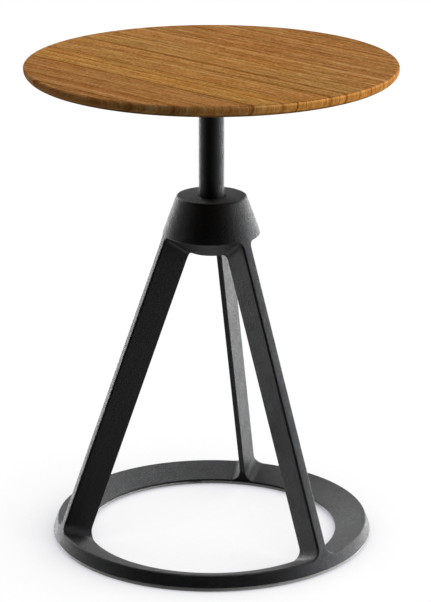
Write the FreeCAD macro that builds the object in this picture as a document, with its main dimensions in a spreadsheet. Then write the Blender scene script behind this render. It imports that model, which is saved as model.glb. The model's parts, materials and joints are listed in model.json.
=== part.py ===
import FreeCAD
import Part
import Sketcher
import math
import os

from FreeCAD import Placement, Rotation, Vector

# Height-adjustable pedestal table. Z = 0 is the floor, the column stands on the Z axis, +X and +Y are
# level. The model shows the column pulled up to its stop.

DIMENSIONS = [
    # table top
    ("top_diameter", 436, "outside diameter of the wooden top"),
    ("top_thickness", 14.5, "thickness of the wooden top"),
    ("top_round", 3, "radius along the upper edge"),
    ("rim_sweep_width", 13.5, "how far the curve of the lower edge reaches in"),
    ("rim_sweep_height", 11, "how far the curve of the lower edge reaches up"),
    ("grain_angle", -45, "direction of the staves, from +X"),
    ("first_joint", -178, "first glue joint, measured across the grain from the middle"),
    ("stave_two", 61, "width of the second stave"),
    ("stave_three", 44, "width of the third stave"),
    ("stave_four", 65, "width of the fourth stave"),
    ("stave_five", 45, "width of the fifth stave"),
    ("stave_six", 40, "width of the sixth stave"),
    ("stave_seven", 44, "width of the seventh stave"),
    ("stave_eight", 44, "width of the eighth stave"),
    # casting: ring, legs and hub
    ("base_radius", 193, "outside of the ring where it meets the glide ring"),
    ("hub_top_height", 418.5, "top of the hub above the underside of the casting"),
    ("hub_wall", 19.4, "wall of the hub around its bore, at the top"),
    ("hub_cap", 8, "thickness of the hub's top above the bore"),
    ("hub_skirt", 4.4, "bore below the bush circlip"),
    ("hub_neck_wall", 3.8, "wall around the bore at the hub's underside"),
    ("hub_lip_wall", 7.3, "metal between the brake hole and the hub's lip"),
    ("crown_band", 5, "inner wall left between the hub's underside and the windows"),
    ("mouth_clearance", 1.2, "radial clearance of the tube in the hub's top"),
    ("ring_height", 15, "outer wall of the ring"),
    ("ring_inner_height", 2, "inner wall of the ring"),
    ("leg_count", 3, "legs, evenly spaced"),
    ("first_leg_angle", -45, "direction of the first leg, from +X"),
    ("leg_outer_width", 14.5, "width of a leg at its outer edge"),
    ("leg_inner_width", 6.3, "width of a leg at its inner edge"),
    ("leg_depth", 38, "level depth of the legs, their lines run on to the glide ring"),
    ("ring_step", 4.3, "how far the ring reaches in past those lines"),
    ("ring_width", "=leg_depth + ring_step", "level width of the ring at the glide ring"),
    ("foot_fillet", 12, "corner of a window at the ring"),
    ("crown_fillet", 8, "corner of a window at the hub"),
    ("outer_edge_round", 2.2, "rounding of the window edges on the outside"),
    ("inner_edge_round", 1, "rounding of the inner edges of the legs"),
    ("heel_round", 30, "curve from the ring's inner wall into the legs' inner faces"),
    ("hub_edge_round", 3, "rounding of the hub's top edge"),
    ("base_edge_round", 1, "rounding of the ring's lowest edge"),
    # glide ring
    ("glide_height", 5, "thickness of the glide ring"),
    ("glide_setback", 2.7, "glide ring set back from the casting's edges"),
    ("glide_round", 0.8, "rounding of the glide ring's lower edges"),
    ("glide_screw_count", 6, "screws of the glide ring"),
    ("glide_screw_diameter", 4, "screw size"),
    ("glide_screw_head", 8, "head diameter"),
    ("glide_screw_sink", 2, "heads lie this far above the floor"),
    ("glide_screw_bite", 5, "length in the casting"),
    # column
    ("tube_diameter", 30, "outside of the column tube"),
    ("tube_wall", 2, "wall of the column tube"),
    ("column_reach", 139, "bare tube between hub and flange when fully up"),
    ("tube_tail", 2.4, "tube below its circlip"),
    ("running_clearance", 0.05, "clearance between the tube and what it slides or turns on"),
    # bushes and retaining rings
    ("bush_length", 12, "length of a guide bush"),
    ("bush_wall", 6.95, "wall of a guide bush"),
    ("spacer_length", 24, "length of the sleeve between the bushes"),
    ("spacer_wall", 3.5, "wall of the sleeve"),
    ("bush_chamfer", 0.8, "lead-in chamfer of a bush"),
    ("bore_clip_thickness", 1.6, "circlip in the hub"),
    ("bore_clip_groove", 1.2, "depth of its groove"),
    ("bore_clip_width", 3.6, "radial width of that circlip"),
    ("stop_gap", 0.5, "play between stop washer and hub circlip when fully up"),
    ("stop_washer_thickness", 1.5, "stop washer"),
    ("stop_washer_gap", 0.5, "radial gap between the stop washer and the hub's bore"),
    ("stop_washer_play", 0.3, "radial play of the stop washer on the tube"),
    ("tube_clip_thickness", 1.5, "circlip on the tube"),
    ("tube_clip_groove", 0.8, "depth of its groove"),
    ("tube_clip_width", 2.8, "radial width of that circlip"),
    ("clip_lug_radius", 2.1, "lugs of the circlips"),
    ("clip_hole_radius", 0.9, "plier holes in the lugs"),
    ("clip_gap_angle", 24, "angle between the lugs of a circlip"),
    ("plug_flange", 2, "flange of the plug in the tube's lower end"),
    ("plug_length", 14, "plug inside the tube"),
    ("plug_wall", 3, "wall of the hollow plug"),
    # friction brake
    ("brake_bore", 12, "threaded hole through the hub wall"),
    ("brake_screw_length", 14, "socket set screw"),
    ("brake_screw_socket", 6, "hexagon across flats"),
    ("brake_screw_sink", 2.5, "set screw below the hub wall"),
    ("disc_spring_count", 4, "disc springs"),
    ("disc_spring_thickness", 0.7, "plate of a disc spring"),
    ("disc_spring_cone", 0.5, "height of its cone"),
    ("disc_spring_bore", 6.2, "bore of a disc spring"),
    ("disc_spring_flat", 0.6, "flat where two disc springs touch"),
    ("disc_spring_play", 0.1, "radial play of the disc springs"),
    ("brake_shoe_play", 0.1, "radial play of the brake shoe"),
    # flange and its fasteners
    ("flange_diameter", 120, "mounting flange under the top"),
    ("flange_thickness", 5, "mounting flange"),
    ("flange_chamfer", 1, "chamfer on the flange's lower edge"),
    ("insert_length", 26, "threaded insert in the tube's upper end"),
    ("insert_chamfer", 1, "lead-in chamfer of the insert"),
    ("bolt_diameter", 8, "flange bolt"),
    ("bolt_head", 16, "countersunk head of the flange bolt"),
    ("bolt_head_depth", 4, "depth of that head"),
    ("bolt_length", 24, "flange bolt, head included"),
    ("bolt_socket", 5, "hexagon across flats"),
    ("bolt_socket_depth", 2.6, "depth of the hexagon"),
    ("wood_screw_count", 6, "screws that hold the top"),
    ("wood_screw_edge", 10, "centres of those screws, in from the flange's edge"),
    ("wood_screw_diameter", 4, "screw size"),
    ("wood_screw_head", 8, "head diameter"),
    ("wood_screw_head_height", 2.6, "head height"),
    ("wood_screw_bite", 9, "length in the wood"),
    ("wood_screw_play", 0.3, "radial play in the flange"),
    ("wood_screw_socket", 3, "hexagon across flats"),
    ("wood_screw_socket_depth", 1.6, "depth of the hexagon"),
]

doc = FreeCAD.newDocument("pedestal_table")
sheet = doc.addObject("Spreadsheet::Sheet", "dims")
for row, (alias, value, note) in enumerate(DIMENSIONS, start=1):
    sheet.set(f"A{row}", alias)
    sheet.set(f"B{row}", str(value))
    sheet.set(f"C{row}", note)
    sheet.setAlias(f"B{row}", alias)
doc.recompute()

nodes = []


def value_of(expression):
    """The number that an expression over the sheet's cells gives."""
    return float(sheet.evalExpression(str(expression)))


def cell(alias):
    """A cell of the sheet, as it is written in an expression."""
    return f"dims.{alias}"


# ---- places that follow from the driving dimensions, as expressions ----

tube_radius = "(dims.tube_diameter / 2)"
tube_bore_radius = "(dims.tube_diameter / 2 - dims.tube_wall)"
slide_radius = f"({tube_radius} + dims.running_clearance)"
bore_radius = f"({slide_radius} + dims.bush_wall)"
hub_top_radius = f"({bore_radius} + dims.hub_wall)"
hub_top = "(dims.glide_height + dims.hub_top_height)"
bush_top = f"({hub_top} - dims.hub_cap)"
spacer_top = f"({bush_top} - dims.bush_length)"
spacer_bottom = f"({spacer_top} - dims.spacer_length)"
brake_height = f"(({spacer_top} + {spacer_bottom}) / 2)"
hub_lip = f"({brake_height} - dims.brake_bore / 2 - dims.hub_lip_wall)"
bush_bottom = f"({spacer_bottom} - dims.bush_length)"
bore_clip_bottom = f"({bush_bottom} - dims.bore_clip_thickness)"
hub_bottom = f"({bore_clip_bottom} - dims.hub_skirt)"
washer_top = f"({bore_clip_bottom} - dims.stop_gap)"
washer_bottom = f"({washer_top} - dims.stop_washer_thickness)"
tube_clip_top = f"({washer_bottom} - dims.running_clearance)"
tube_clip_bottom = f"({tube_clip_top} - dims.tube_clip_thickness)"
tube_bottom = f"({tube_clip_bottom} - dims.tube_tail)"
flange_bottom = f"({hub_top} + dims.column_reach)"
flange_top = f"({flange_bottom} + dims.flange_thickness)"
table_height = f"({flange_top} + dims.top_thickness)"
ring_inside = "(dims.base_radius - dims.ring_width)"
ring_middle = "(dims.base_radius - dims.ring_width / 2)"
ring_inner_top = "(dims.glide_height + dims.ring_inner_height)"
leg_inside = "(dims.base_radius - dims.leg_depth)"
crown_inner = f"({hub_bottom} - dims.crown_band)"
slope = f"((dims.base_radius - {hub_top_radius}) / dims.hub_top_height)"
inner_slope = (
    f"(({leg_inside} - {bore_radius} - dims.hub_neck_wall)"
    f" / ({hub_bottom} - dims.glide_height))"
)
heel = f"(dims.glide_height + ({leg_inside} - {ring_inside}) / {inner_slope})"


def outer_radius(height):
    """Radius of the outer wall shared by ring, legs and hub, at a height above the floor."""
    return f"(dims.base_radius - {slope} * ({height} - dims.glide_height))"


def inner_radius(height):
    """Radius of the legs' inner faces, at a height above the floor."""
    return f"({leg_inside} - {inner_slope} * ({height} - dims.glide_height))"


# ---- helpers ----


def keep(feature, label):
    """Names a finished piece and puts it on the list of those that are written out."""
    feature.Label = label
    nodes.append(feature)
    return feature


def draw(sketch, corners):
    """Draws a closed outline of straight lines whose corners are bound to pairs of expressions."""
    points = [Vector(value_of(x), value_of(y), 0) for x, y in corners]
    lines = [
        Part.LineSegment(a, b) for a, b in zip(points, points[1:] + points[:1])
    ]
    first = sketch.addGeometry(lines, False)[0]
    last = first + len(lines) - 1
    for line in range(first, last + 1):
        following = line + 1 if line < last else first
        sketch.addConstraint(Sketcher.Constraint("Coincident", line, 2, following, 1))
    for line, (x, y) in enumerate(corners, start=first):
        for axis, expression in (("DistanceX", x), ("DistanceY", y)):
            size = value_of(expression)
            index = sketch.addConstraint(
                Sketcher.Constraint(axis, -1, 1, line, 1, size)
            )
            sketch.setExpression(f"Constraints[{index}]", str(expression))


def sketch_in(body, name, plane):
    """A sketch on one of the body's own origin planes."""
    sketch = body.newObject("Sketcher::SketchObject", name)
    support = next(f for f in body.Origin.OriginFeatures if f.Role == plane)
    sketch.AttachmentSupport = (support, [""])
    sketch.MapMode = "FlatFace"
    return sketch


def turned(name, corners, placement=None):
    """A body turned about its own Z axis from an outline of (radius, height) corners."""
    body = doc.addObject("PartDesign::Body", name)
    sketch = sketch_in(body, f"{name}_section", "XZ_Plane")
    draw(sketch, corners)
    doc.recompute()
    turn = body.newObject("PartDesign::Revolution", f"{name}_turn")
    turn.Profile = sketch
    turn.ReferenceAxis = (sketch, ["V_Axis"])
    turn.Angle = 360
    doc.recompute()
    if placement:
        body.Placement = placement
    return body


def ring_corners(inner, outer, bottom, top):
    return [(inner, bottom), (outer, bottom), (outer, top), (inner, top)]


def cylinder(name, radius, height, placement=None):
    solid = doc.addObject("Part::Cylinder", name)
    solid.setExpression("Radius", radius)
    solid.setExpression("Height", height)
    if placement:
        solid.Placement = placement
    return solid


def hexagon(name, across_flats, height, placement):
    """A hexagonal prism for a screw's socket."""
    solid = doc.addObject("Part::Prism", name)
    solid.Polygon = 6
    solid.setExpression("Circumradius", f"{across_flats} / 2 / cos(30 deg)")
    solid.setExpression("Height", height)
    solid.Placement = placement
    return solid


def cut(name, base, *tools):
    """base with each tool taken away in turn."""
    result = base
    for number, tool in enumerate(tools, start=1):
        step = doc.addObject("Part::Cut", f"{name}_cut_{number}")
        step.Base = result
        step.Tool = tool
        result = step
    doc.recompute()
    return result


def fuse(name, parts):
    result = doc.addObject("Part::MultiFuse", f"{name}_fuse")
    result.Shapes = parts
    doc.recompute()
    return result


def group(name, parts):
    result = doc.addObject("Part::Compound", f"{name}_group")
    result.Links = parts
    doc.recompute()
    return result


def round_edges(name, base, pick_radius):
    """Rounds each edge of base for which pick_radius gives a radius."""
    doc.recompute()
    chosen = []
    for number, edge in enumerate(base.Shape.Edges, start=1):
        radius = pick_radius(edge)
        if radius:
            chosen.append((number, radius, radius))
    rounded = doc.addObject("Part::Fillet", f"{name}_rounded")
    rounded.Base = base
    rounded.Edges = chosen
    doc.recompute()
    return rounded


def samples(edge, count=5):
    """Points along an edge as (radius, height) pairs."""
    low, high = edge.ParameterRange
    found = []
    for step in range(count):
        point = edge.valueAt(low + (high - low) * step / (count - 1))
        found.append((math.hypot(point.x, point.y), point.z))
    return found


def around(count, start=0.0):
    """Evenly spaced angles in degrees."""
    return [start + 360.0 * step / count for step in range(int(count))]


def turned_to(angle, radius=0.0, height=0.0, tilt=None):
    """A placement at a radius and height, turned about the Z axis to an angle in degrees."""
    spin = Rotation(Vector(0, 0, 1), angle)
    base = spin.multVec(Vector(radius, 0, height))
    return Placement(base, spin.multiply(tilt) if tilt else spin)


pointing_out = Rotation(Vector(0, 1, 0), 90)
TOUCHING = 1e-3


# ---- base ----


def casting_blank():
    """The casting as a full turned shape, before its windows: wall, hub and bore."""
    groove_radius = f"({bore_radius} + dims.bore_clip_groove)"
    blank = turned(
        "casting_blank",
        [
            (ring_inside, cell("glide_height")),
            (cell("base_radius"), cell("glide_height")),
            (hub_top_radius, hub_top),
            (f"{tube_radius} + dims.mouth_clearance", hub_top),
            (f"{tube_radius} + dims.mouth_clearance", bush_top),
            (bore_radius, bush_top),
            (bore_radius, bush_bottom),
            (groove_radius, bush_bottom),
            (groove_radius, bore_clip_bottom),
            (bore_radius, bore_clip_bottom),
            (bore_radius, hub_bottom),
            (inner_radius(hub_bottom), hub_bottom),
            (ring_inside, heel),
        ],
        turned_to(value_of(cell("first_leg_angle"))),
    )
    heel_round = value_of(cell("heel_round"))
    heel_height = value_of(heel)

    def radius_for(edge):
        return heel_round if all(abs(z - heel_height) < TOUCHING for _, z in samples(edge)) else None

    return round_edges("casting_blank", blank, radius_for)


def window_cutters():
    """Blocks that open the wall between the legs, with the corners of the windows rounded."""
    overrun = 14
    ring_top = "(dims.glide_height + dims.ring_height)"
    windows = turned(
        "window_band",
        wall_line(ring_inside, ring_inner_top, ring_top, overrun)
        + wall_line(inner_radius(crown_inner), crown_inner, hub_lip, overrun)[::-1],
        turned_to(value_of(cell("first_leg_angle"))),
    )
    for number, angle in enumerate(leg_angles(), start=1):
        windows = cut(f"window_{number}", windows, leg_bar(number, angle, overrun))
    foot = value_of(cell("foot_fillet"))
    crown = value_of(cell("crown_fillet"))
    halfway = value_of(hub_lip) / 2

    def corner_radius(edge):
        (near, low), (far, high) = samples(edge, 2)
        if abs(near - far) < overrun or abs(low - high) > halfway / 2:
            return None
        return foot if low < halfway else crown

    return round_edges("windows", windows, corner_radius)


def wall_line(inner, inner_height, outer_height, overrun):
    """Ends of a line through the casting's wall, from a radius and height inside to a height on the outer
    wall, made longer by overrun at both ends."""
    outer = outer_radius(outer_height)
    rise = f"(({outer_height} - {inner_height}) / ({outer} - {inner}))"
    return [
        (f"{inner} - {overrun}", f"{inner_height} - {rise} * {overrun}"),
        (f"{outer} + {overrun}", f"{outer_height} + {rise} * {overrun}"),
    ]


def leg_bar(number, angle, overrun):
    """A slanted bar with the level section of one leg, longer and deeper than the leg."""
    taper = "((dims.leg_outer_width - dims.leg_inner_width) / 2 / dims.leg_depth)"
    margin = 2 * overrun
    foot = f"(dims.base_radius + {slope} * dims.glide_height)"
    outer = f"({foot} + {margin})"
    inner = f"({foot} - dims.leg_depth - {margin})"
    outer_half = f"(dims.leg_outer_width / 2 + {taper} * {margin})"
    inner_half = f"(dims.leg_inner_width / 2 - {taper} * {margin})"
    sketch = doc.addObject("Sketcher::SketchObject", f"leg_{number}_section")
    draw(
        sketch,
        [
            (inner, f"-{inner_half}"),
            (outer, f"-{outer_half}"),
            (outer, outer_half),
            (inner, inner_half),
        ],
    )
    bar = doc.addObject("Part::Extrusion", f"leg_{number}_bar")
    bar.Base = sketch
    bar.DirMode = "Custom"
    bar.Dir = Vector(-value_of(slope), 0, 1)
    bar.setExpression("LengthFwd", f"{hub_top} * sqrt(1 + {slope} ^ 2)")
    bar.Solid = True
    bar.Placement = turned_to(angle)
    return bar


def base_casting(glide_screws):
    opened = cut("casting", casting_blank(), window_cutters())
    floor = value_of(cell("glide_height"))
    ceiling = value_of(hub_bottom)
    top = value_of(hub_top)
    ring_edge, crown_edge = value_of(ring_inner_top), value_of(crown_inner)
    ring_wall = value_of(ring_inside)
    outer_foot, outer_lean = value_of(cell("base_radius")), value_of(slope)
    inner_foot, inner_lean = value_of(leg_inside), value_of(inner_slope)
    outer_round = value_of(cell("outer_edge_round"))
    inner_round = value_of(cell("inner_edge_round"))
    hub_round = value_of(cell("hub_edge_round"))
    base_round = value_of(cell("base_edge_round"))
    heel_fill = value_of(f"dims.heel_round * (1 / cos(atan({inner_slope}) / 2) - 1)")

    def on_wall(points, foot, lean):
        return all(abs(r - foot + lean * (z - floor)) < TOUCHING for r, z in points)

    def on_inside(points):
        # the ring's inner wall, the legs' inner faces or the heel curve between them
        return all(
            -heel_fill - TOUCHING < r - min(ring_wall, inner_foot - inner_lean * (z - floor)) < TOUCHING
            for r, z in points
        )

    def radius_for(edge):
        points = samples(edge)
        low, high = min(z for _, z in points), max(z for _, z in points)
        if on_wall(points, outer_foot, outer_lean):
            if low > top - TOUCHING:
                return hub_round
            return base_round if high < floor + TOUCHING else outer_round
        in_window = floor + TOUCHING < low and high < ceiling - TOUCHING
        across_leg = high - low < TOUCHING and ring_edge + TOUCHING < low < crown_edge - TOUCHING
        return inner_round if in_window and not across_leg and on_inside(points) else None

    rounded = round_edges("casting", opened, radius_for)
    brake_hole = cylinder(
        "brake_hole", "dims.brake_bore / 2", outer_radius(hub_lip), brake_placement()
    )
    return keep(cut("base_casting", rounded, brake_hole, glide_screws), "base_casting")


def glide_ring(glide_screws):
    inner = f"({ring_inside} + dims.glide_setback)"
    outer = "(dims.base_radius - dims.glide_setback)"
    blank = turned("glide_blank", ring_corners(inner, outer, "0", cell("glide_height")))
    edge_round = value_of(cell("glide_round"))

    def radius_for(edge):
        return edge_round if max(z for _, z in samples(edge)) < TOUCHING else None

    rounded = round_edges("glide", blank, radius_for)
    access = [
        cylinder(
            f"glide_access_{number}",
            "dims.glide_screw_head / 2",
            cell("glide_screw_sink"),
            turned_to(angle, value_of(ring_middle)),
        )
        for number, angle in enumerate(glide_screw_angles(), start=1)
    ]
    holes = group("glide_access", access)
    return keep(cut("glide_ring", rounded, holes, glide_screws), "glide_ring")


def leg_angles():
    return around(value_of(cell("leg_count")), value_of(cell("first_leg_angle")))


def glide_screw_angles():
    count = value_of(cell("glide_screw_count"))
    return around(count, value_of(cell("first_leg_angle")) + 180.0 / count)


def glide_screws():
    """Countersunk screws from below, through the glide ring into the casting."""
    shank = "(dims.glide_screw_diameter / 2)"
    head = "(dims.glide_screw_head / 2)"
    sink = cell("glide_screw_sink")
    neck = f"({sink} + {head} - {shank})"
    end = "(dims.glide_height + dims.glide_screw_bite)"
    corners = [("0", sink), (head, sink), (shank, neck), (shank, end), ("0", end)]
    screws = []
    for number, angle in enumerate(glide_screw_angles(), start=1):
        place = turned_to(angle, value_of(ring_middle))
        screws.append(turned(f"glide_screw_{number}", corners, place))
    return keep(group("glide_screws", screws), "glide_screws")


# ---- bushes and circlips in the hub ----


def bush(label, bottom, top):
    chamfer = cell("bush_chamfer")
    return keep(
        turned(
            label,
            [
                (f"{slide_radius} + {chamfer}", bottom),
                (bore_radius, bottom),
                (bore_radius, top),
                (f"{slide_radius} + {chamfer}", top),
                (slide_radius, f"{top} - {chamfer}"),
                (slide_radius, f"{bottom} + {chamfer}"),
            ],
        ),
        label,
    )


def spacer_sleeve():
    blank = turned(
        "spacer_blank",
        ring_corners(
            f"{bore_radius} - dims.spacer_wall", bore_radius, spacer_bottom, spacer_top
        ),
    )
    hole = cylinder("spacer_hole", "dims.brake_bore / 2", bore_radius, brake_placement())
    return keep(cut("spacer_sleeve", blank, hole), "spacer_sleeve")


def circlip(label, inner, outer, bottom, top, lug_centre, angle):
    """An open retaining ring with two lugs, its gap at an angle about the Z axis."""
    height = f"({top} - {bottom})"
    blank = turned(f"{label}_blank", ring_corners(inner, outer, bottom, top))
    half_gap = value_of(cell("clip_gap_angle")) / 2
    centre = value_of(lug_centre)
    level = value_of(bottom)
    sides = (angle - half_gap, angle + half_gap)
    lugs = [
        cylinder(
            f"{label}_lug_{number}",
            cell("clip_lug_radius"),
            height,
            turned_to(side, centre, level),
        )
        for number, side in enumerate(sides, start=1)
    ]
    holes = [
        cylinder(
            f"{label}_hole_{number}",
            cell("clip_hole_radius"),
            height,
            turned_to(side, centre, level),
        )
        for number, side in enumerate(sides, start=1)
    ]
    gap = doc.addObject("Part::Cylinder", f"{label}_gap")
    gap.setExpression("Radius", f"{outer} + 1")
    gap.setExpression("Height", height)
    gap.setExpression("Angle", f"{cell('clip_gap_angle')}")
    gap.Placement = turned_to(angle - half_gap, 0, level)
    opened = cut(f"{label}_open", blank, gap)
    whole = fuse(label, [opened] + lugs)
    return keep(cut(label, whole, group(f"{label}_holes", holes)), label)


def hub_circlip(angle):
    outer = f"({bore_radius} + dims.bore_clip_groove)"
    inner = f"({outer} - dims.bore_clip_width)"
    centre = f"({inner} - dims.clip_lug_radius / 2)"
    return circlip(
        "hub_circlip", inner, outer, bore_clip_bottom, bush_bottom, centre, angle
    )


def tube_circlip(angle):
    inner = f"({tube_radius} - dims.tube_clip_groove)"
    outer = f"({inner} + dims.tube_clip_width)"
    centre = f"({outer} + dims.clip_lug_radius / 2)"
    return circlip(
        "tube_circlip", inner, outer, tube_clip_bottom, tube_clip_top, centre, angle
    )


def stop_washer():
    inner = f"({tube_radius} + dims.stop_washer_play)"
    outer = f"({bore_radius} - dims.stop_washer_gap)"
    corners = ring_corners(inner, outer, washer_bottom, washer_top)
    return keep(turned("stop_washer", corners), "stop_washer")


# ---- friction brake ----


def brake_placement():
    """The brake points at the column from the side opposite the first leg."""
    angle = value_of("dims.first_leg_angle + 180")
    return turned_to(angle, 0, value_of(brake_height), pointing_out)


def brake():
    """Set screw, disc springs and shoe, from the hub wall in to the tube."""
    radius = "(dims.brake_bore / 2)"
    plate = cell("disc_spring_thickness")
    cone = cell("disc_spring_cone")
    hole = "(dims.disc_spring_bore / 2)"
    screw_outer = f"({outer_radius(brake_height)} - dims.brake_screw_sink)"
    screw_inner = f"({screw_outer} - dims.brake_screw_length)"
    step = f"({plate} + {cone})"
    shoe_outer = f"({screw_inner} - dims.disc_spring_count * {step})"
    place = brake_placement()

    blank = turned("brake_screw_blank", ring_corners("0", radius, screw_inner, screw_outer), place)
    socket_depth = f"(dims.brake_screw_length / 2)"
    socket_place = place.multiply(
        Placement(Vector(0, 0, value_of(f"{screw_outer} - {socket_depth}")), Rotation())
    )
    socket = hexagon(
        "brake_screw_socket", cell("brake_screw_socket"), socket_depth, socket_place
    )
    keep(cut("brake_screw", blank, socket), "brake_screw")

    rim = f"({radius} - dims.disc_spring_play)"
    flat = cell("disc_spring_flat")
    springs = []
    for number in range(int(value_of(cell("disc_spring_count")))):
        low = f"({shoe_outer} + {number} * {step})"
        corners = [
            (hole, low),
            (f"{hole} + {flat}", low),
            (rim, f"{low} + {cone}"),
            (rim, f"{low} + {step}"),
            (f"{rim} - {flat}", f"{low} + {step}"),
            (hole, f"{low} + {plate}"),
        ]
        if number % 2:
            corners = [(across, f"2 * {low} + {step} - ({up})") for across, up in corners]
        springs.append(turned(f"disc_spring_{number + 1}", corners, place))
    keep(group("brake_springs", springs), "brake_springs")

    shoe_radius = f"({radius} - dims.brake_shoe_play)"
    shoe = turned("brake_shoe_blank", ring_corners("0", shoe_radius, "0", shoe_outer), place)
    column = cylinder("brake_shoe_seat", slide_radius, table_height)
    keep(cut("brake_shoe", shoe, column), "brake_shoe")


# ---- column ----


def column_tube():
    groove = f"({tube_radius} - dims.tube_clip_groove)"
    return keep(
        turned(
            "column_tube",
            [
                (tube_bore_radius, tube_bottom),
                (tube_radius, tube_bottom),
                (tube_radius, tube_clip_bottom),
                (groove, tube_clip_bottom),
                (groove, tube_clip_top),
                (tube_radius, tube_clip_top),
                (tube_radius, flange_bottom),
                (tube_bore_radius, flange_bottom),
            ],
        ),
        "column_tube",
    )


def tube_plug():
    """Plug that closes the tube's lower end, hollow from above."""
    flange_low = f"({tube_bottom} - dims.plug_flange)"
    top = f"({tube_bottom} + dims.plug_length)"
    hollow = f"({tube_bore_radius} - dims.plug_wall)"
    return keep(
        turned(
            "tube_plug",
            [
                ("0", flange_low),
                (f"{tube_radius} - dims.plug_flange / 2", flange_low),
                (tube_radius, f"{flange_low} + dims.plug_flange / 2"),
                (tube_radius, tube_bottom),
                (tube_bore_radius, tube_bottom),
                (tube_bore_radius, top),
                (hollow, top),
                (hollow, tube_bottom),
                ("0", tube_bottom),
            ],
        ),
        "tube_plug",
    )


def tube_insert():
    bolt = "(dims.bolt_diameter / 2)"
    bottom = f"({flange_bottom} - dims.insert_length)"
    chamfer = cell("insert_chamfer")
    return keep(
        turned(
            "tube_insert",
            [
                (bolt, bottom),
                (f"{tube_bore_radius} - {chamfer}", bottom),
                (tube_bore_radius, f"{bottom} + {chamfer}"),
                (tube_bore_radius, flange_bottom),
                (bolt, flange_bottom),
            ],
        ),
        "tube_insert",
    )


def bolt_corners(radius_play="0"):
    """Countersunk bolt outline, its head flush with the flange's upper face."""
    shank = f"(dims.bolt_diameter / 2 + {radius_play})"
    head = "(dims.bolt_head / 2)"
    return [
        ("0", f"{flange_top} - dims.bolt_length"),
        (shank, f"{flange_top} - dims.bolt_length"),
        (shank, f"{flange_top} - dims.bolt_head_depth"),
        (head, flange_top),
        ("0", flange_top),
    ]


def flange_bolt():
    blank = turned("flange_bolt_blank", bolt_corners())
    place = turned_to(0, 0, value_of(f"{flange_top} - dims.bolt_socket_depth"))
    socket = hexagon("bolt_hexagon", cell("bolt_socket"), cell("bolt_socket_depth"), place)
    return keep(cut("flange_bolt", blank, socket), "flange_bolt")


def wood_screw_places(height):
    count = value_of(cell("wood_screw_count"))
    start = value_of(cell("grain_angle"))
    radius = value_of("dims.flange_diameter / 2 - dims.wood_screw_edge")
    return [turned_to(angle, radius, height) for angle in around(count, start)]


def mounting_flange():
    outer = "(dims.flange_diameter / 2)"
    chamfer = cell("flange_chamfer")
    blank = turned(
        "flange_blank",
        [
            ("0", flange_bottom),
            (f"{outer} - {chamfer}", flange_bottom),
            (outer, f"{flange_bottom} + {chamfer}"),
            (outer, flange_top),
            ("0", flange_top),
        ],
    )
    bolt_hole = turned("flange_bolt_hole", bolt_corners())
    places = wood_screw_places(value_of(flange_bottom))
    holes = [
        cylinder(
            f"flange_hole_{number}",
            "dims.wood_screw_diameter / 2 + dims.wood_screw_play",
            cell("flange_thickness"),
            place,
        )
        for number, place in enumerate(places, start=1)
    ]
    screw_holes = group("flange_holes", holes)
    return keep(cut("mounting_flange", blank, bolt_hole, screw_holes), "mounting_flange")


def wood_screws():
    """Pan-head screws up through the flange into the wooden top."""
    shank = "(dims.wood_screw_diameter / 2)"
    head = "(dims.wood_screw_head / 2)"
    head_low = "(-dims.wood_screw_head_height)"
    tip = "(dims.flange_thickness + dims.wood_screw_bite)"
    corners = [
        ("0", head_low),
        (f"{head} - dims.wood_screw_head_height / 4", head_low),
        (head, f"{head_low} + dims.wood_screw_head_height / 2"),
        (head, "0"),
        (shank, "0"),
        (shank, f"{tip} - {shank}"),
        ("0", tip),
    ]
    screws = []
    for number, place in enumerate(wood_screw_places(value_of(flange_bottom)), start=1):
        blank = turned(f"wood_screw_{number}_blank", corners, place)
        low = place.multiply(Placement(Vector(0, 0, value_of(head_low)), Rotation()))
        socket = hexagon(
            f"wood_screw_{number}_socket",
            cell("wood_screw_socket"),
            cell("wood_screw_socket_depth"),
            low,
        )
        screws.append(cut(f"wood_screw_{number}", blank, socket))
    return keep(group("wood_screws", screws), "wood_screws")


# ---- wooden top ----


def top_blank():
    """The round top in one piece. Its lower edge is a quarter of an ellipse, so its outline is made of
    edges here instead of a sketch."""
    radius = value_of("dims.top_diameter / 2")
    low = value_of(flange_top)
    high = value_of(table_height)
    edge_round = value_of(cell("top_round"))
    sweep_width = value_of(cell("rim_sweep_width"))
    sweep_height = value_of(cell("rim_sweep_height"))
    across, up = Vector(1, 0, 0), Vector(0, 0, 1)

    def at(r, z):
        return Vector(r, 0, z)

    corner = at(radius - edge_round, high - edge_round)
    slant = edge_round * math.sqrt(0.5)
    upper = Part.Arc(
        at(radius, high - edge_round),
        corner + (across + up) * slant,
        at(radius - edge_round, high),
    )
    centre = at(radius - sweep_width, low + sweep_height)
    long_way = max(sweep_width, sweep_height)
    short_way = min(sweep_width, sweep_height)
    axis_end = centre + (across if sweep_width >= sweep_height else up) * long_way
    side = centre + (up if sweep_width >= sweep_height else across) * short_way
    ellipse = Part.Ellipse(axis_end, side, centre)
    bottom_point = at(radius - sweep_width, low)
    side_point = at(radius, low + sweep_height)
    start, end = ellipse.parameter(bottom_point), ellipse.parameter(side_point)
    if (end - start) % (2 * math.pi) > math.pi:
        start, end = end, start
    lower = Part.ArcOfEllipse(ellipse, start, end)
    edges = [
        Part.LineSegment(at(0, high), at(0, low)).toShape(),
        Part.LineSegment(at(0, low), bottom_point).toShape(),
        lower.toShape(),
        upper.toShape(),
        Part.LineSegment(at(radius - edge_round, high), at(0, high)).toShape(),
    ]
    flat = high - edge_round - (low + sweep_height)
    if flat > TOUCHING:
        edges.append(Part.LineSegment(side_point, at(radius, high - edge_round)).toShape())
    section = Part.Face(Part.Wire(Part.__sortEdges__(edges)))
    blank = doc.addObject("Part::Feature", "top_blank")
    blank.Shape = section.revolve(Vector(0, 0, 0), up, 360)
    return blank


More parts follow.
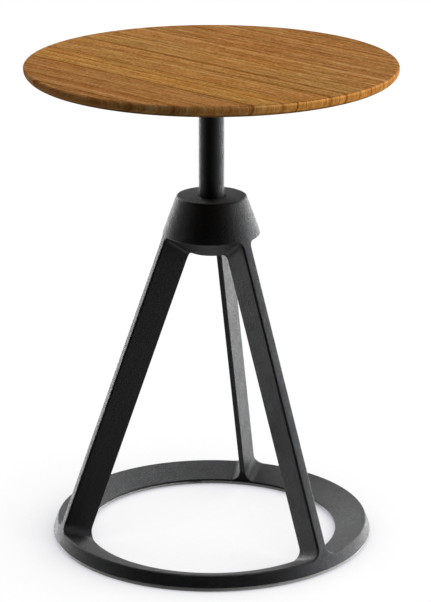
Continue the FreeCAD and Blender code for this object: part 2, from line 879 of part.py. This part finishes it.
def staves(wood_screws):
    """The top as separate boards, glued edge to edge."""
    blank = top_blank()
    reach = f"(dims.top_diameter / 2 + 1)"
    widths = ["two", "three", "four", "five", "six", "seven", "eight"]
    joints = ["dims.first_joint"]
    for word in widths:
        joints.append(f"({joints[-1]} + dims.stave_{word})")
    edges = [f"(-{reach})"] + joints + [reach]
    level = value_of(flange_top) - 1
    spin = Rotation(Vector(0, 0, 1), value_of(cell("grain_angle")))
    for number, (near, far) in enumerate(zip(edges, edges[1:]), start=1):
        slab = doc.addObject("Part::Box", f"stave_{number}_slab")
        slab.setExpression("Length", f"2 * {reach}")
        slab.setExpression("Width", f"{far} - {near}")
        slab.setExpression("Height", "dims.top_thickness + 2")
        corner = Vector(-value_of(reach), value_of(near), level)
        slab.Placement = Placement(spin.multVec(corner), spin)
        board = doc.addObject("Part::Common", f"stave_{number}_board")
        board.Base = blank
        board.Tool = slab
        keep(cut(f"stave_{number}", board, wood_screws), f"stave_{number}")


def build():
    screws = glide_screws()
    base_casting(screws)
    glide_ring(screws)
    bush("upper_bush", spacer_top, bush_top)
    spacer_sleeve()
    bush("lower_bush", bush_bottom, spacer_bottom)
    hub_circlip(value_of(cell("first_leg_angle")))
    stop_washer()
    tube_circlip(value_of(cell("first_leg_angle")))
    brake()
    column_tube()
    tube_plug()
    tube_insert()
    flange_bolt()
    mounting_flange()
    staves(wood_screws())
    doc.recompute()


def check():
    """Stops if any object failed to build or any piece isn't a valid solid."""
    for item in doc.Objects:
        for state in ("Invalid", "Error"):
            if state in item.State:
                raise RuntimeError(f"{item.Label} is {state}: {item.State}")
    for piece in nodes:
        shape = piece.Shape
        if shape.isNull() or not shape.isValid() or not shape.Solids:
            raise RuntimeError(f"{piece.Label} has no valid solid")


def export():
    os.makedirs("parts", exist_ok=True)
    for piece in nodes:
        piece.Shape.exportStep(f"parts/{piece.Label}.step")
        box = piece.Shape.BoundBox
        print(
            f"{piece.Label}: {len(piece.Shape.Solids)} solid(s), {piece.Shape.Volume / 1000:.2f} cm3, "
            f"x {box.XMin:.1f}..{box.XMax:.1f}, y {box.YMin:.1f}..{box.YMax:.1f}, "
            f"z {box.ZMin:.1f}..{box.ZMax:.1f}"
        )


build()
check()
export()
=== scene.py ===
import bpy
import bmesh
import json
import math
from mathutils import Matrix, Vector


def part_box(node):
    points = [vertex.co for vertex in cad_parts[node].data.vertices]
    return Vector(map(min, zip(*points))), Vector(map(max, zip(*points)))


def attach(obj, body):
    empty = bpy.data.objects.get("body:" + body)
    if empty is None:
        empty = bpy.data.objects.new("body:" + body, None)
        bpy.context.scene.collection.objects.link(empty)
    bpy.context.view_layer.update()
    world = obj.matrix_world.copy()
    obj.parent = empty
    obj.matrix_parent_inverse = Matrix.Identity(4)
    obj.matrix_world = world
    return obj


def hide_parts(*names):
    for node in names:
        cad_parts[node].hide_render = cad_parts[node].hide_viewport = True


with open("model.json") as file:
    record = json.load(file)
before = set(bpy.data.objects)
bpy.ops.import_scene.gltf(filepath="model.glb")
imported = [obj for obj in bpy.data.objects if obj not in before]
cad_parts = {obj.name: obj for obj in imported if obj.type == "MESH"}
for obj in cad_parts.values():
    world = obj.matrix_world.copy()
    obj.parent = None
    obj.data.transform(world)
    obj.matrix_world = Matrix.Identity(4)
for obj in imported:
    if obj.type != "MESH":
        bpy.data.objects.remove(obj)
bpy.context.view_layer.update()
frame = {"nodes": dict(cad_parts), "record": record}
print("frame loaded:", len(frame["nodes"]), "parts")


def deselectAll():
    if bpy.context.object and bpy.context.object.mode != "OBJECT":
        bpy.ops.object.mode_set(mode="OBJECT")
    bpy.ops.object.select_all(action="DESELECT")


def editOnly(piece):
    deselectAll()
    piece.select_set(True)
    bpy.context.view_layer.objects.active = piece


def startEdit(piece, selectMode="FACE"):
    editOnly(piece)
    bpy.ops.object.mode_set(mode="EDIT")
    bpy.ops.mesh.select_mode(type=selectMode)
    bpy.ops.mesh.select_all(action="DESELECT")


def endEdit():
    bpy.ops.object.mode_set(mode="OBJECT")


def selectWhere(piece, kind, test):
    # kind is verts, edges or faces; test gets one of them
    mesh = bmesh.from_edit_mesh(piece.data)
    for item in getattr(mesh, kind):
        item.select_set(bool(test(item)))
    mesh.select_flush_mode()
    bmesh.update_edit_mesh(piece.data)


def copyPiece(source, name):
    piece = source.copy()
    piece.data = source.data.copy()
    piece.parent = None
    piece.name = piece.data.name = name
    for key in list(piece.keys()):
        if key.startswith("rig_"):
            del piece[key]
    bpy.context.scene.collection.objects.link(piece)
    return piece


def smoothShade(piece, angle=32):
    # soft shading on rounds, with flat faces kept flat
    editOnly(piece)
    bpy.ops.object.shade_smooth_by_angle(angle=math.radians(angle))
    weighting = piece.modifiers.new("flatFaces", "WEIGHTED_NORMAL")
    weighting.weight = 90
    weighting.keep_sharp = True
    bpy.ops.object.modifier_apply(modifier=weighting.name)


def bodyOf(node):
    for body, members in frame["record"]["behaviour"]["bodies"].items():
        if node in members:
            return body


def slotOf(node):
    for part in frame["record"]["subparts"]:
        if part["node"] == node:
            return part["material_slot"]


def newMaterial(name, roughness, baseColor=(0.5, 0.5, 0.5), metallic=0.0, specular=0.5):
    material = bpy.data.materials.new(name)
    material.use_nodes = True
    shader = material.node_tree.nodes["Principled BSDF"]
    shader.inputs["Roughness"].default_value = roughness
    shader.inputs["Metallic"].default_value = metallic
    shader.inputs["Base Color"].default_value = (*baseColor, 1)
    shader.inputs["Specular IOR Level"].default_value = specular
    return material, material.node_tree, shader


def addNode(tree, kind, **settings):
    node = tree.nodes.new(kind)
    for key, value in settings.items():
        setattr(node, key, value)
    return node


def addNoise(tree, vector, scale, detail=2.0, roughness=0.5, distortion=0.0):
    noise = addNode(tree, "ShaderNodeTexNoise")
    noise.inputs["Scale"].default_value = scale
    noise.inputs["Detail"].default_value = detail
    noise.inputs["Roughness"].default_value = roughness
    noise.inputs["Distortion"].default_value = distortion
    tree.links.new(vector, noise.inputs["Vector"])
    return noise.outputs["Fac"]


def addRange(tree, value, fromLow, fromHigh, toLow=0.0, toHigh=1.0):
    stretch = addNode(tree, "ShaderNodeMapRange")
    ends = {"From Min": fromLow, "From Max": fromHigh, "To Min": toLow, "To Max": toHigh}
    for key, number in ends.items():
        stretch.inputs[key].default_value = number
    tree.links.new(value, stretch.inputs["Value"])
    return stretch.outputs["Result"]


def addSwing(tree, noise, low, high):
    # a noise texture seldom leaves 0.3 to 0.7
    return addRange(tree, noise, 0.3, 0.7, low, high)


def addMath(tree, operation, *values):
    node = addNode(tree, "ShaderNodeMath", operation=operation)
    for index, value in enumerate(values):
        if isinstance(value, (int, float)):
            node.inputs[index].default_value = value
        else:
            tree.links.new(value, node.inputs[index])
    return node.outputs[0]


def addMix(tree, factor, first, second, blend="MIX"):
    mix = addNode(tree, "ShaderNodeMix", data_type="RGBA", blend_type=blend)
    mix.clamp_factor = True
    for socket, value in ((mix.inputs[0], factor), (mix.inputs[6], first), (mix.inputs[7], second)):
        if isinstance(value, (int, float)):
            socket.default_value = value
        elif isinstance(value, tuple):
            socket.default_value = (*value, 1)
        else:
            tree.links.new(value, socket)
    return mix.outputs[2]


def addRamp(tree, value, stops):
    # stops run from 0 to 1
    node = addNode(tree, "ShaderNodeValToRGB")
    marks = node.color_ramp.elements
    marks[0].color = (*stops[0][1], 1)
    marks[1].color = (*stops[-1][1], 1)
    for position, colour in stops[1:-1]:
        marks.new(position).color = (*colour, 1)
    tree.links.new(value, node.inputs["Fac"])
    return node.outputs["Color"]


def addBump(tree, shader, height, strength, distance):
    bump = addNode(tree, "ShaderNodeBump")
    bump.inputs["Strength"].default_value = strength
    bump.inputs["Distance"].default_value = distance
    tree.links.new(height, bump.inputs["Height"])
    tree.links.new(bump.outputs["Normal"], shader.inputs["Normal"])


powderCoat = {
    "colour": (0.0015, 0.0015, 0.0016),
    "speckle": (0.0105, 0.0108, 0.0112),
    "speckleRange": (0.5, 0.64),
    "specularTint": (0.965, 0.99, 1.03),
    "roughness": 0.55,
    "grainSwing": 0.16,
    "cloudSwing": 0.03,
    "cloudSize": 60,
    "grainSize": 500,
    "grainStrength": 0.8,
    "grainHeight": 0.0004,
}


def makePowderCoat(name, look):
    material, tree, shader = newMaterial(name, look["roughness"])
    place = addNode(tree, "ShaderNodeTexCoord").outputs["Object"]
    grain = addNoise(tree, place, look["grainSize"], detail=3, roughness=0.6)
    clouds = addNoise(tree, place, look["cloudSize"], detail=2)
    speckle = addRange(tree, grain, *look["speckleRange"])
    tree.links.new(addMix(tree, speckle, look["colour"], look["speckle"]), shader.inputs["Base Color"])
    shader.inputs["Specular Tint"].default_value = (*look["specularTint"], 1)
    roughness, cloudSwing = look["roughness"], look["cloudSwing"]
    uneven = addMath(tree, "ADD", addSwing(tree, grain, -look["grainSwing"], look["grainSwing"]),
                     addSwing(tree, clouds, roughness - cloudSwing, roughness + cloudSwing))
    tree.links.new(uneven, shader.inputs["Roughness"])
    addBump(tree, shader, grain, look["grainStrength"], look["grainHeight"])
    return material


plastics = {
    "natural_plastic": {"name": "natural_nylon", "roughness": 0.5, "grainSize": 500,
                        "colour": (0.63, 0.63, 0.62), "shade": (0.56, 0.56, 0.55)},
    "bush_plastic": {"name": "bearing_nylon", "roughness": 0.4, "grainSize": 300,
                     "colour": (0.72, 0.71, 0.68), "shade": (0.64, 0.63, 0.6)},
    "black_plastic": {"name": "moulded_black", "roughness": 0.5, "grainSize": 900,
                      "colour": (0.016, 0.016, 0.017), "shade": (0.022, 0.022, 0.023)},
}
plasticFinish = {"cloudSize": 35, "roughnessSwing": 0.05, "grainStrength": 0.15, "grainHeight": 0.0002}


def makePlastic(look):
    material, tree, shader = newMaterial(look["name"], look["roughness"])
    place = addNode(tree, "ShaderNodeTexCoord").outputs["Object"]
    clouds = addNoise(tree, place, plasticFinish["cloudSize"], detail=3)
    grain = addNoise(tree, place, look["grainSize"], detail=2)
    tree.links.new(addMix(tree, addRange(tree, clouds, 0.35, 0.65), look["colour"], look["shade"]),
                   shader.inputs["Base Color"])
    swing = plasticFinish["roughnessSwing"]
    tree.links.new(addSwing(tree, grain, look["roughness"] - swing, look["roughness"] + swing),
                   shader.inputs["Roughness"])
    addBump(tree, shader, grain, plasticFinish["grainStrength"], plasticFinish["grainHeight"])
    return material


metals = {
    "steel": {"name": "zinc_plated_steel", "roughness": 0.38, "grainSize": 700,
              "colour": (0.40, 0.40, 0.42), "shade": (0.30, 0.30, 0.32)},
    "sleeve_aluminium": {"name": "turned_aluminium", "roughness": 0.28, "grainSize": 900,
                         "colour": (0.78, 0.78, 0.79), "shade": (0.68, 0.68, 0.69)},
}
metalFinish = {"turning": (0.2, 0.2, 4), "stainSize": 80, "smoother": 0.06, "rougher": 0.1,
               "markStrength": 0.1, "markHeight": 0.0001}


def makeMetal(look):
    material, tree, shader = newMaterial(look["name"], look["roughness"], metallic=1.0)
    place = addNode(tree, "ShaderNodeTexCoord").outputs["Object"]
    turning = addNode(tree, "ShaderNodeMapping")
    turning.inputs["Scale"].default_value = metalFinish["turning"]
    tree.links.new(place, turning.inputs["Vector"])
    marks = addNoise(tree, turning.outputs["Vector"], look["grainSize"], detail=3)
    stains = addNoise(tree, place, metalFinish["stainSize"], detail=3)
    tree.links.new(addMix(tree, addRange(tree, stains, 0.4, 0.7), look["colour"], look["shade"]),
                   shader.inputs["Base Color"])
    smoothest = look["roughness"] - metalFinish["smoother"]
    roughest = look["roughness"] + metalFinish["rougher"]
    tree.links.new(addSwing(tree, marks, smoothest, roughest), shader.inputs["Roughness"])
    addBump(tree, shader, marks, metalFinish["markStrength"], metalFinish["markHeight"])
    return material


teak = {
    "grainTurn": 45,
    "grainShift": (3.7, 11.3, 0.7),
    "grainRise": 0.12,
    "roughness": 0.7,
    "roughnessSwing": 0.08,
    "specular": 0.002,
    "fibreStrength": 0.12,
    "fibreHeight": 0.0003,
    # waves a metre along and across the board, share in the light and dark of the wood, and the noise
    "layers": {
        "bands": (1.0, 105, 0.22, {"detail": 2, "roughness": 0.5}),
        "lines": (2.5, 420, 0.5, {"detail": 2, "roughness": 0.6}),
        "streaks": (30, 600, 0.75, {"detail": 2, "roughness": 0.5, "distortion": 0.2}),
        "flecks": (220, 500, 0.5, {"detail": 1, "roughness": 0.5}),
        "fibres": (280, 1500, 0.5, {"detail": 2, "roughness": 0.55}),
    },
    "lineWobble": 0.002,
    # colour from the darkest grain to the palest
    "shades": ((0.0, (0.098, 0.032, 0.0065)), (0.34, (0.227, 0.089, 0.0202)), (0.5, (0.340, 0.158, 0.042)),
               (0.72, (0.48, 0.25, 0.088)), (1.0, (0.605, 0.365, 0.185))),
    "reddish": (1.04, 0.94, 0.85),
    "olive": (0.97, 1.03, 1.04),
    # cut edge: where its upper boundary, arris and foot lie in height, and over how much they fade; the
    # foot gets painted shade, the arris painted highlight and shade
    "rimHeight": (0.5808, 0.0006),
    "rimArris": (0.5787, 0.0008),
    "rimFoot": (0.5705, 0.002),
    # painted shade at the foot of the cut edge, as a share of its colour
    "rimFootPaintedShade": 0.3,
    "rimStripes": (900, 900, 20),
    "rimStripeShare": 0.3,
    "rimToneShare": 0.45,
    "rimMarks": 1.5,
    "rimLines": 3.2,
    "rimLineWidth": 1.7,
    "rimLineColour": (0.13, 0.040, 0.008),
    "rimTone": (0.36, 0.165, 0.038),
    # tints of the cut edge across the top in mm, on its near side: partly the boards' own tone, partly
    # painted light and painted shade, brightest where the cut edge faces the lamps
    "tintReach": 218,
    "nearSide": (-0.02, 0.06),
    "rimToneAndPaintedLight": ((-218, (1.10, 1.08, 1.15)), (-197, (1.12, 1.22, 1.40)), (-175, (1.10, 1.18, 1.38)),
                 (-160, (1.60, 1.60, 1.75)), (-130, (1.62, 1.52, 1.55)), (-112, (2.20, 2.20, 2.10)),
                 (-70, (2.36, 2.20, 1.80)), (-10, (2.08, 1.90, 1.50)), (35, (1.80, 1.60, 1.30)),
                 (77, (1.50, 1.30, 1.05)), (150, (1.30, 1.08, 0.85)), (218, (1.10, 0.92, 0.75))),
    # painted shade over the far side of the cut edge
    "farSidePaintedShade": (0.95, 0.94, 1.00),
    # painted highlight on the arris across the top in mm, with painted shade at its low end
    "arrisPaintedLight": ((-218, (0.82, 0.80, 0.80)), (-140, (0.82, 0.80, 0.80)), (-100, (1.20, 1.27, 1.55)),
                   (50, (1.20, 1.27, 1.50)), (120, (1.08, 1.08, 1.15)), (218, (0.95, 0.92, 0.92))),
}

tableTop = {
    "segments": 288,
    "upperRound": 0.003,
    "roundSteps": 6,
    "sweepWidth": 0.0135,
    "sweepHeight": 0.011,
    "sweepSteps": 10,
    "easedJoint": 0.00018,
    "furthestJoint": 0.2,
    "seedStep": 1.37,
    # tint of the board, and its marked growth lines: place across the top in mm, width, depth
    "boards": {
        "stave_1": {"tint": (0.91, 0.87, 0.90),
                    "growth": ((-203, 3, 0.20), (-193, 4, -0.16), (-180, 3, 0.20))},
        "stave_2": {"tint": (0.93, 0.88, 0.88),
                    "growth": ((-171, 4, -0.10), (-146, 4, -0.12), (-138, 3, 0.06), (-118.5, 3, 0.24))},
        "stave_3": {"tint": (1.06, 1.07, 0.90),
                    "growth": ((-108, 4, -0.10), (-94, 3, -0.07), (-88, 3, 0.12), (-81, 3, -0.10))},
        "stave_4": {"tint": (1.06, 1.07, 1.02),
                    "growth": ((-72, 1.4, 0.24), (-43, 4, -0.07), (-29, 3.5, 0.18), (-13, 4, -0.10))},
        "stave_5": {"tint": (1.01, 1.03, 1.00),
                    "growth": ((-6, 3, 0.28), (9, 3, -0.08), (17, 3, 0.12), (24, 3, -0.12))},
        "stave_6": {"tint": (1.02, 1.01, 1.00),
                    "growth": ((38, 1.4, 0.25), (66, 3, 0.10), (75, 3.5, -0.18))},
        "stave_7": {"tint": (0.98, 0.93, 0.95),
                    "growth": ((82, 3, 0.08), (93, 3, 0.08), (102, 4, -0.13), (111, 3, 0.10))},
        "stave_8": {"tint": (0.95, 0.90, 0.90),
                    "growth": ((129, 3, 0.14), (137, 3, -0.10), (143, 3, 0.12), (158, 4, -0.14))},
        "stave_9": {"tint": (0.94, 0.92, 0.92),
                    "growth": ((166, 3.5, 0.20), (172, 3, -0.10), (201, 5, 0.18))},
    },
}
grainTurn = math.radians(teak["grainTurn"])
acrossGrain = Vector((math.sin(grainTurn), math.cos(grainTurn), 0))


def makeTeak(name, board, seed):
    material, tree, shader = newMaterial(name, teak["roughness"], specular=teak["specular"])
    place = addNode(tree, "ShaderNodeTexCoord").outputs["Object"]
    turned = addNode(tree, "ShaderNodeMapping")
    turned.inputs["Rotation"].default_value = (0, 0, grainTurn)
    tree.links.new(place, turned.inputs["Vector"])

    def grain(along, across, **noise):
        # grain of so many waves a metre along and across the board
        scaled = addNode(tree, "ShaderNodeMapping")
        scaled.inputs["Location"].default_value = [seed * shift for shift in teak["grainShift"]]
        scaled.inputs["Scale"].default_value = (along, across, across * teak["grainRise"])
        tree.links.new(turned.outputs["Vector"], scaled.inputs["Vector"])
        return addNoise(tree, scaled.outputs["Vector"], 1.0, **noise)

    value = 0.5
    layers = {}
    for layer, (alongWaves, acrossWaves, share, noise) in teak["layers"].items():
        layers[layer] = grain(alongWaves, acrossWaves, **noise)
        swing = addMath(tree, "MULTIPLY", addMath(tree, "SUBTRACT", layers[layer], 0.5), share)
        value = addMath(tree, "ADD", value, swing)

    # marked growth lines that wander a little along the board
    across = addNode(tree, "ShaderNodeSeparateXYZ")
    tree.links.new(turned.outputs["Vector"], across.inputs["Vector"])
    wander = addMath(tree, "SUBTRACT", grain(3, 8, detail=1), 0.5)
    wobble = addMath(tree, "MULTIPLY", wander, teak["lineWobble"])
    marks = rimLines = 0.0
    for middle, width, depth in board["growth"]:
        offset = addMath(tree, "ADD", addMath(tree, "SUBTRACT", across.outputs["Y"], middle / 1000), wobble)
        distance = addMath(tree, "ABSOLUTE", offset)
        marks = addMath(tree, "ADD", marks, addRange(tree, distance, 0, width / 1000, depth, 0))
        strength = max(depth, 0) * teak["rimLines"]
        rimLine = addRange(tree, distance, 0, teak["rimLineWidth"] / 1000, strength, 0)
        rimLines = addMath(tree, "ADD", rimLines, rimLine)
    shades = addRamp(tree, addMath(tree, "SUBTRACT", value, marks), teak["shades"])

    hue = grain(7, 60, detail=2, roughness=0.5)
    warm = addMix(tree, addRange(tree, hue, 0.5, 0.7), (1, 1, 1), teak["reddish"])
    warm = addMix(tree, addRange(tree, hue, 0.5, 0.3), warm, teak["olive"])
    face = addMix(tree, 1.0, addMix(tree, 1.0, shades, warm, "MULTIPLY"), board["tint"], "MULTIPLY")

    # the cut edge: short upright stripes over the grain that runs out there
    darkest, pale = teak["shades"][0][1], teak["shades"][3][1]
    upright = addNode(tree, "ShaderNodeMapping")
    upright.inputs["Scale"].default_value = teak["rimStripes"]
    tree.links.new(place, upright.inputs["Vector"])
    stripes = addNoise(tree, upright.outputs["Vector"], 1.0, detail=2, roughness=0.6)
    runOut = addMath(tree, "SUBTRACT", value, addMath(tree, "MULTIPLY", marks, teak["rimMarks"]))
    rim = addMix(tree, teak["rimToneShare"], addRamp(tree, runOut, teak["shades"]), teak["rimTone"])
    rim = addMix(tree, addRange(tree, stripes, 0.5, 0.75, 0, teak["rimStripeShare"]), rim, darkest)
    rim = addMix(tree, addRange(tree, stripes, 0.5, 0.25, 0, teak["rimStripeShare"]), rim, pale)
    rim = addMix(tree, rimLines, rim, teak["rimLineColour"])

    def tintAcross(stops):
        reach = teak["tintReach"]
        spot = addRange(tree, across.outputs["Y"], -reach / 1000, reach / 1000)
        return addRamp(tree, spot, [((middle + reach) / reach / 2, tint) for middle, tint in stops])

    # the cut edge's tint: on the near side partly board tone and partly painted light and shade, on the far
    # side painted shade
    near = addRange(tree, across.outputs["X"], *teak["nearSide"])
    tint = addMix(tree, near, teak["farSidePaintedShade"], tintAcross(teak["rimToneAndPaintedLight"]))
    rim = addMix(tree, 1.0, rim, tint, "MULTIPLY")

    # from the painted shade at the foot over the painted highlight and shade on the arris to the face
    high = addNode(tree, "ShaderNodeSeparateXYZ")
    tree.links.new(place, high.inputs["Vector"])

    def fadeUp(edge, below, above):
        height, fade = teak[edge]
        return addRange(tree, high.outputs["Z"], height, height + fade, below, above)

    # painted shade darkening the foot of the cut edge
    foot = addMix(tree, fadeUp("rimFoot", teak["rimFootPaintedShade"], 1), (0, 0, 0), (1, 1, 1))
    rim = addMix(tree, 1.0, rim, foot, "MULTIPLY")
    # painted highlight and painted shade along the arris
    paintedArrisLight = addMix(tree, 1.0, rim, tintAcross(teak["arrisPaintedLight"]), "MULTIPLY")
    rim = addMix(tree, fadeUp("rimArris", 0, 1), rim, paintedArrisLight)
    tree.links.new(addMix(tree, fadeUp("rimHeight", 1, 0), face, rim), shader.inputs["Base Color"])

    swing = teak["roughnessSwing"]
    tree.links.new(addSwing(tree, layers["streaks"], teak["roughness"] - swing, teak["roughness"] + swing),
                   shader.inputs["Roughness"])
    relief = addMath(tree, "ADD", layers["fibres"], layers["lines"])
    addBump(tree, shader, relief, teak["fibreStrength"], teak["fibreHeight"])
    return material


def topDisc():
    # one round board, lathed up from its underside ring by ring
    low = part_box("stave_5")[0].z
    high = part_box("stave_5")[1].z
    radius = max(v.co.xy.length for v in frame["nodes"]["stave_2"].data.vertices)
    width, height, rounding = tableTop["sweepWidth"], tableTop["sweepHeight"], tableTop["upperRound"]
    rings = []
    for step in range(tableTop["sweepSteps"] + 1):
        angle = math.radians(90 * step / tableTop["sweepSteps"])
        rings.append((radius - width + width * math.sin(angle),
                      low + height - height * math.cos(angle)))
    for step in range(tableTop["roundSteps"] + 1):
        angle = math.radians(90 * step / tableTop["roundSteps"])
        rings.append((radius - rounding + rounding * math.cos(angle),
                      high - rounding + rounding * math.sin(angle)))
    firstRadius, firstHeight = rings[0]
    deselectAll()
    bpy.ops.mesh.primitive_circle_add(vertices=tableTop["segments"], radius=firstRadius,
                                      fill_type="NGON", location=(0, 0, firstHeight))
    disc = bpy.context.object
    bpy.ops.object.transform_apply(location=True)
    startEdit(disc)
    bpy.ops.mesh.select_all(action="SELECT")
    bpy.ops.mesh.flip_normals()
    bpy.ops.mesh.select_mode(type="EDGE")
    for (nearRadius, nearHeight), (farRadius, farHeight) in zip(rings, rings[1:]):
        bpy.ops.mesh.extrude_edges_move(TRANSFORM_OT_translate={"value": (0, 0, farHeight - nearHeight)})
        share = farRadius / nearRadius
        bpy.ops.transform.resize(value=(share, share, 1), center_override=(0, 0, farHeight))
    bpy.ops.mesh.edge_face_add()
    bpy.ops.mesh.select_all(action="SELECT")
    bpy.ops.mesh.normals_make_consistent(inside=False)
    endEdit()
    return disc


def cutBoard(disc, node):
    # keeps the stretch of the disc between two glue joints and eases its edges
    reach = [v.co.dot(acrossGrain) for v in frame["nodes"][node].data.vertices]
    board = copyPiece(disc, "board_" + node)
    startEdit(board)
    for edge, outward in ((min(reach), -1), (max(reach), 1)):
        if abs(edge) > tableTop["furthestJoint"]:
            continue
        bpy.ops.mesh.select_all(action="SELECT")
        bpy.ops.mesh.bisect(plane_co=acrossGrain * edge, plane_no=acrossGrain * outward,
                            use_fill=True, clear_outer=True)
    bpy.ops.mesh.select_mode(type="FACE")
    selectWhere(board, "faces", lambda face: abs(face.normal.dot(acrossGrain)) > 0.999)
    bpy.ops.mesh.region_to_loop()
    bpy.ops.mesh.bevel(offset=tableTop["easedJoint"], segments=1, affect="EDGES")
    endEdit()
    smoothShade(board)
    return board


def buildTop():
    disc = topDisc()
    for number, (node, look) in enumerate(tableTop["boards"].items(), start=1):
        board = cutBoard(disc, node)
        board.data.materials.clear()
        board.data.materials.append(makeTeak("teak_" + node, look, number * tableTop["seedStep"]))
        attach(board, bodyOf(node))
        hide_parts(node)
    bpy.data.objects.remove(disc)
    print("table top: boards", len(tableTop["boards"]))


smoothParts = ["base_casting", "column_tube", "glide_ring", "mounting_flange", "tube_plug"]


def dressParts():
    finish = {"black_coat": makePowderCoat("satin_powder_coat", powderCoat)}
    for slot, look in plastics.items():
        finish[slot] = makePlastic(look)
    for slot, look in metals.items():
        finish[slot] = makeMetal(look)
    for node, part in frame["nodes"].items():
        if node in tableTop["boards"]:
            continue
        if node in smoothParts:
            part = copyPiece(part, "smooth_" + node)
            startEdit(part, "VERT")
            bpy.ops.mesh.select_all(action="SELECT")
            bpy.ops.mesh.remove_doubles(threshold=1e-6)
            endEdit()
            smoothShade(part)
            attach(part, bodyOf(node))
            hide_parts(node)
        part.data.materials.clear()
        part.data.materials.append(finish[slotOf(node)])
    print("parts dressed")


studio = {
    "cameraPlace": (0.0047, -3.0877, 1.2681),
    "cameraTilt": 72.47,
    "lens": 162.7,
    "floorSize": 30,
    "floorTone": 0.995,
    "floorDrop": 0.0002,
    "floorShadow": (0.33, 0.33, 0.39),
    "shadowReach": 0.33,
    "shadowLean": (0.25, -0.1, 1),
    "shadowSamples": 16,
    "ambient": 0.02,
    "aimHeight": 0.3,
    "lampDistance": 3.0,
    "lampSize": 2.2,
    # heading clockwise from the back, height above level, watts
    "lamps": {
        "key": (30, 45, 53),
        "front": (180, 68, 40),
        "backLeft": (330, 0, 50),
        "backLeftHigh": (330, 22, 37),
        "backRight": (30, 0, 55),
        "sideBackRight": (60, 0, 39),
        "sideRight": (90, 0, 49),
        "sideLeft": (270, 0, 14),
        "floorGlow": (0, -90, 24),
        "floorGlowLeft": (315, -28, 38),
        "floorGlowRight": (45, -28, 24),
        "floorGlowFront": (135, -28, 8),
    },
}


def hangLamp(name, heading, height, watts, size):
    heading, height = math.radians(heading), math.radians(height)
    level = math.cos(height)
    away = Vector((math.sin(heading) * level, math.cos(heading) * level, math.sin(height)))
    aim = Vector((0, 0, studio["aimHeight"]))
    bpy.ops.object.light_add(type="AREA", location=aim + away * studio["lampDistance"])
    lamp = bpy.context.object
    lamp.name = "lamp_" + name
    lamp.rotation_euler = (-away).to_track_quat("-Z", "Y").to_euler()
    lamp.data.shape = "DISK"
    lamp.data.size = size
    lamp.data.energy = watts
    lamp.visible_camera = False


def makeFloorPaint():
    # pale glowing paper with a painted shadow that darkens it only near what stands on it
    material, tree, shader = newMaterial("studio_floor", 0.9, baseColor=(0.02, 0.02, 0.02), specular=0.0)
    nearness = addNode(tree, "ShaderNodeAmbientOcclusion", samples=studio["shadowSamples"])
    nearness.inputs["Distance"].default_value = studio["shadowReach"]
    lean = addNode(tree, "ShaderNodeCombineXYZ")
    for socket, share in zip(lean.inputs, Vector(studio["shadowLean"]).normalized()):
        socket.default_value = share
    tree.links.new(lean.outputs["Vector"], nearness.inputs["Normal"])
    # the floor's glow, with painted shadow where the occlusion is strong
    paper = addMix(tree, nearness.outputs["AO"], studio["floorShadow"], (studio["floorTone"],) * 3)
    tree.links.new(paper, shader.inputs["Emission Color"])
    shader.inputs["Emission Strength"].default_value = 1.0
    # seen through from below, so that the underside of the table shows
    facing = addNode(tree, "ShaderNodeMixShader")
    tree.links.new(addNode(tree, "ShaderNodeNewGeometry").outputs["Backfacing"], facing.inputs[0])
    tree.links.new(shader.outputs["BSDF"], facing.inputs[1])
    tree.links.new(addNode(tree, "ShaderNodeBsdfTransparent").outputs["BSDF"], facing.inputs[2])
    tree.links.new(facing.outputs["Shader"], tree.nodes["Material Output"].inputs["Surface"])
    return material


def buildStudio():
    deselectAll()
    bpy.ops.mesh.primitive_plane_add(size=studio["floorSize"], location=(0, 0, -studio["floorDrop"]))
    floor = bpy.context.object
    floor.name = "studio_floor"
    floor.data.materials.append(makeFloorPaint())
    floor.visible_glossy = False
    floor.visible_diffuse = False
    floor.visible_shadow = False

    for name, (heading, height, watts) in studio["lamps"].items():
        hangLamp(name, heading, height, watts, studio["lampSize"])

    bpy.ops.object.camera_add(location=studio["cameraPlace"],
                              rotation=(math.radians(studio["cameraTilt"]), 0, 0))
    camera = bpy.context.object
    camera.data.lens = studio["lens"]
    camera.data.sensor_width = 36
    bpy.context.scene.camera = camera

    world = bpy.data.worlds.new("studio")
    bpy.context.scene.world = world
    world.use_nodes = True
    tree = world.node_tree
    seen = addNode(tree, "ShaderNodeLightPath").outputs["Is Camera Ray"]
    backdrop = tree.nodes["Background"]
    backdrop.inputs["Color"].default_value = (1, 1, 1, 1)
    tree.links.new(addRange(tree, seen, 0, 1, studio["ambient"], 1), backdrop.inputs["Strength"])
    bpy.context.scene.view_settings.view_transform = "Standard"
    print("studio ready: lamps", len(studio["lamps"]))


buildTop()
dressParts()
buildStudio()
